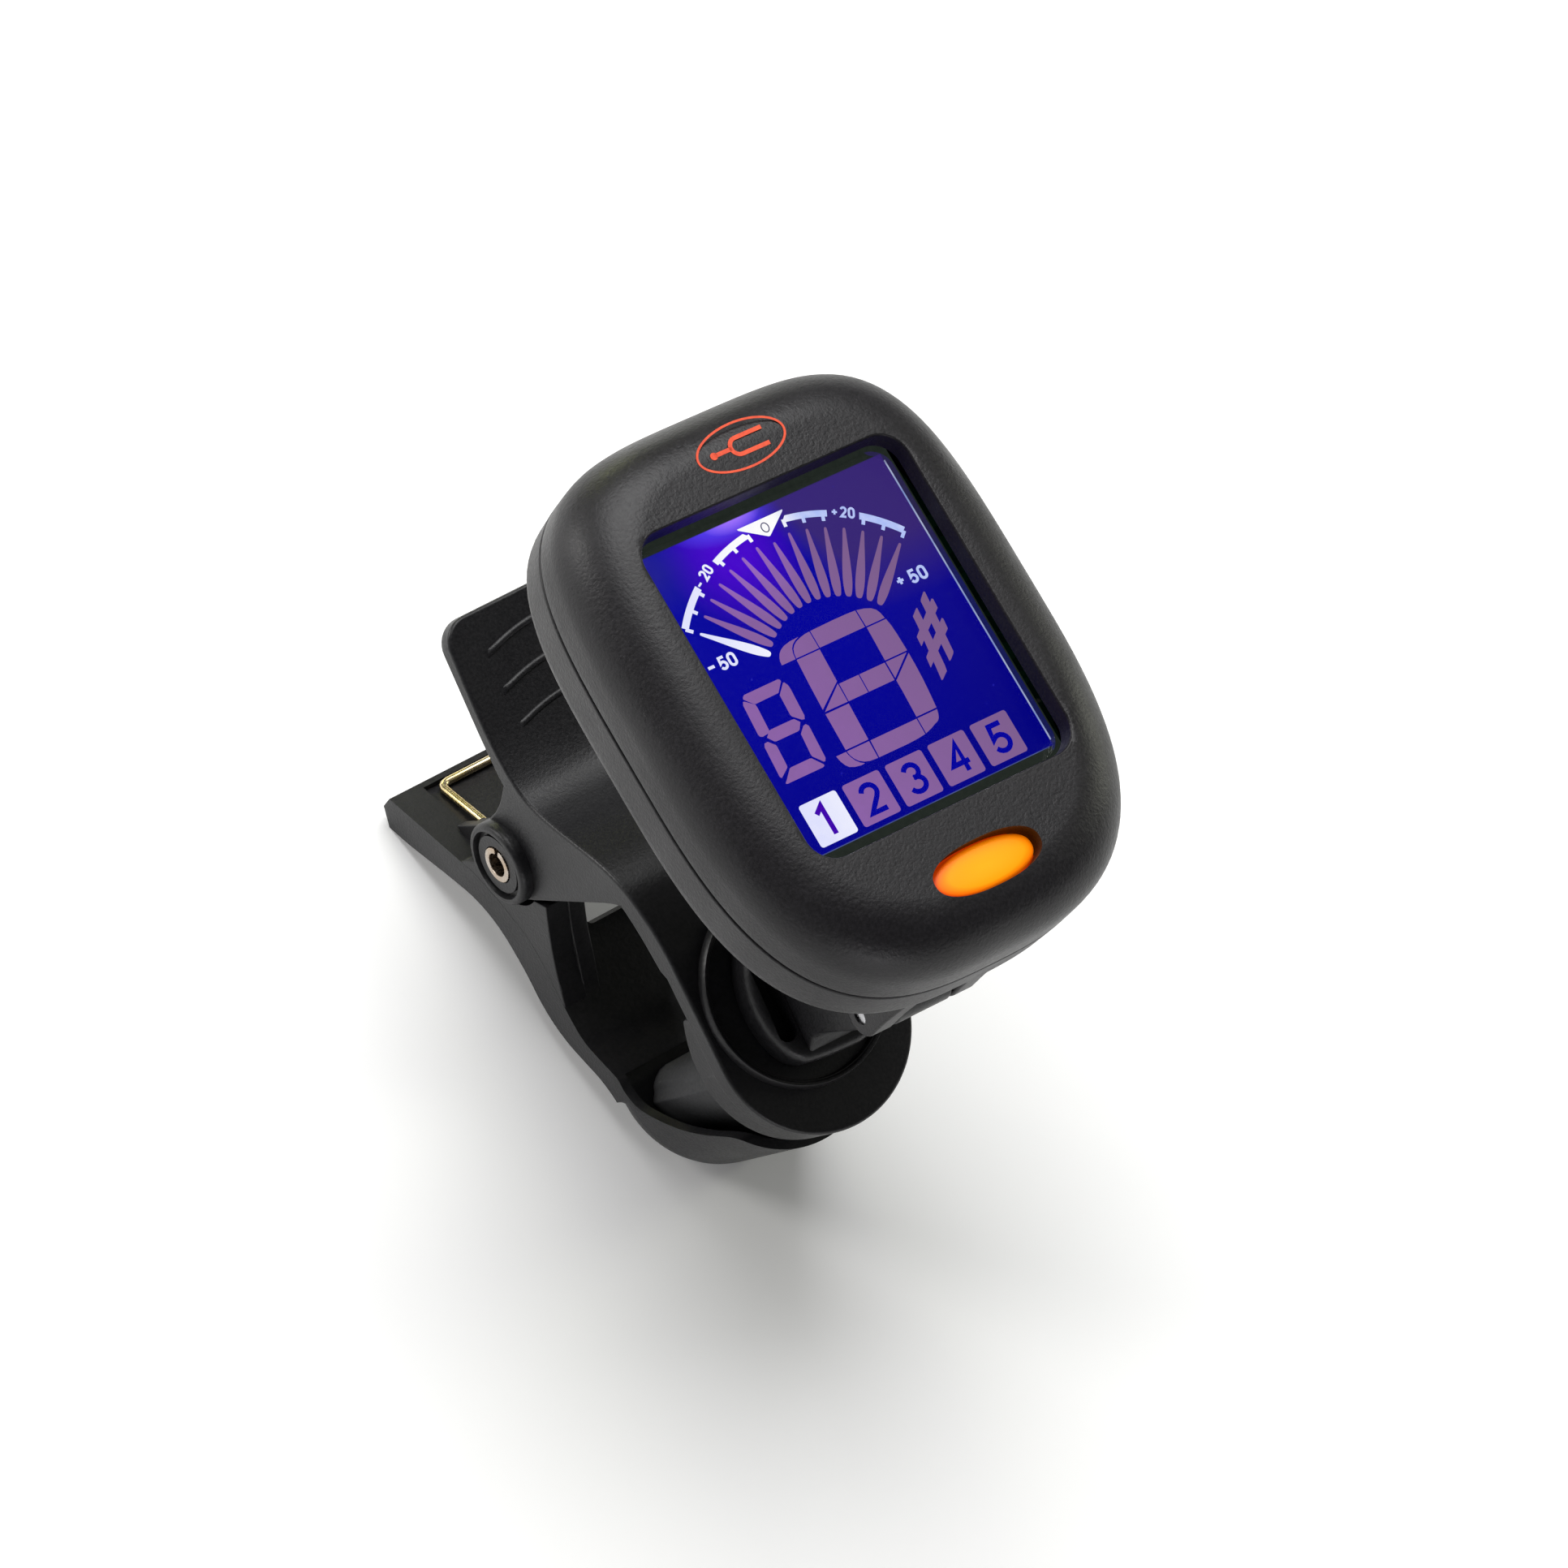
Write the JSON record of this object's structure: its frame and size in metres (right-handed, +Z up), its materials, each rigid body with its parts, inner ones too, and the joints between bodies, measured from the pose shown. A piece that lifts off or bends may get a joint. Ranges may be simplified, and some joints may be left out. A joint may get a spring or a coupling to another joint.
{
  "type": "clip-on tuner",
  "caption": "Clip-on instrument tuner: lit display head on a tilting, swivelling neck above a sprung clip with rubber jaw pads.",
  "frame": {"origin": "bottom centre of the box round the tuner standing on its jaw tip and lower handle foot", "axes": "+Z up from the surface it stands on, +Y from the jaws towards the handles, +X along the clip hinge pin"},
  "size_m": [0.0396, 0.0594, 0.0698],
  "materials": {
    "lower_arm": "fine spark-eroded texture",
    "lower_pad": "soft matte",
    "pivot_pin": "rolled steel",
    "torsion_spring": "drawn wire",
    "upper_arm": "fine spark-eroded texture",
    "upper_pad": "soft matte",
    "piezo_disc": "plain",
    "swivel_base": "fine spark-eroded texture",
    "swivel_washer": "plain",
    "swivel_screw": "plain",
    "tilt_pin": "plain",
    "front_cover": "fine spark-eroded texture",
    "rear_cover": "fine spark-eroded texture",
    "battery_door": "fine spark-eroded texture",
    "display_window": "clear",
    "lcd_panel": "lit display",
    "backlight_plate": "light guide",
    "lcd_connector": "elastomer strip",
    "circuit_board": "solder mask",
    "switch_body": "plain",
    "switch_plunger": "plain",
    "controller_chip": "plain",
    "coin_cell": "plain",
    "battery_contact_minus": "plated",
    "battery_contact_plus": "plated",
    "backlight_led_a": "plain",
    "backlight_led_b": "plain",
    "case_screw_a": "blackened",
    "case_screw_b": "blackened",
    "case_screw_c": "blackened",
    "case_screw_d": "blackened",
    "power_button": "translucent, lit"
  },
  "bodies": {
    "lower": {"lower_arm": "lower_arm", "lower_pad": "lower_pad", "pivot_pin": "pivot_pin", "torsion_spring": "torsion_spring"},
    "upper": {"upper_arm": "upper_arm", "upper_pad": "upper_pad", "piezo_disc": "piezo_disc"},
    "neck": {"swivel_base": "swivel_base", "swivel_washer": "swivel_washer", "swivel_screw": "swivel_screw", "tilt_pin": "tilt_pin"},
    "head": {"front_cover": "front_cover", "rear_cover": "rear_cover", "display_window": "display_window", "lcd_panel": "lcd_panel", "backlight_plate": "backlight_plate", "lcd_connector": "lcd_connector", "circuit_board": "circuit_board", "switch_body": "switch_body", "switch_plunger": "switch_plunger", "controller_chip": "controller_chip", "coin_cell": "coin_cell", "battery_contact_minus": "battery_contact_minus", "battery_contact_plus": "battery_contact_plus", "backlight_led_a": "backlight_led_a", "backlight_led_b": "backlight_led_b", "case_screw_a": "case_screw_a", "case_screw_b": "case_screw_b", "case_screw_c": "case_screw_c", "case_screw_d": "case_screw_d"},
    "door": {"battery_door": "battery_door"},
    "button": {"power_button": "power_button"}
  },
  "joints": [
    {"name": "clip_hinge", "type": "hinge", "parent": "lower", "child": "upper", "pos_m": [-0.00101, 0.01323, 0.01443], "axis": [-1, 0, 0], "range_deg": [0, 38], "stiffness_Nm_per_rad": 0.08, "springref_deg": -68.75, "deforming": ["torsion_spring"]},
    {"name": "neck_swivel", "type": "hinge", "parent": "upper", "child": "neck", "pos_m": [-0.00101, -0.01293, 0.02542], "axis": [0, -0.4126, 0.9109], "continuous": true},
    {"name": "head_tilt", "type": "hinge", "parent": "neck", "child": "head", "pos_m": [-0.00116, -0.02364, 0.04033], "axis": [0.9991, -0.0381, -0.0173], "range_deg": [-24, 90]},
    {"name": "button_press", "type": "slide", "parent": "head", "child": "button", "axis": [-0.0101, 0.1801, -0.9836], "range_m": [0, 0.0005], "stiffness_N_per_m": 800, "springref_m": -0.0002},
    {"name": "battery_door_slide", "type": "slide", "parent": "head", "child": "door", "axis": [0.0406, 0.9829, 0.1796], "range_m": [0, 0.012]}
  ]
}
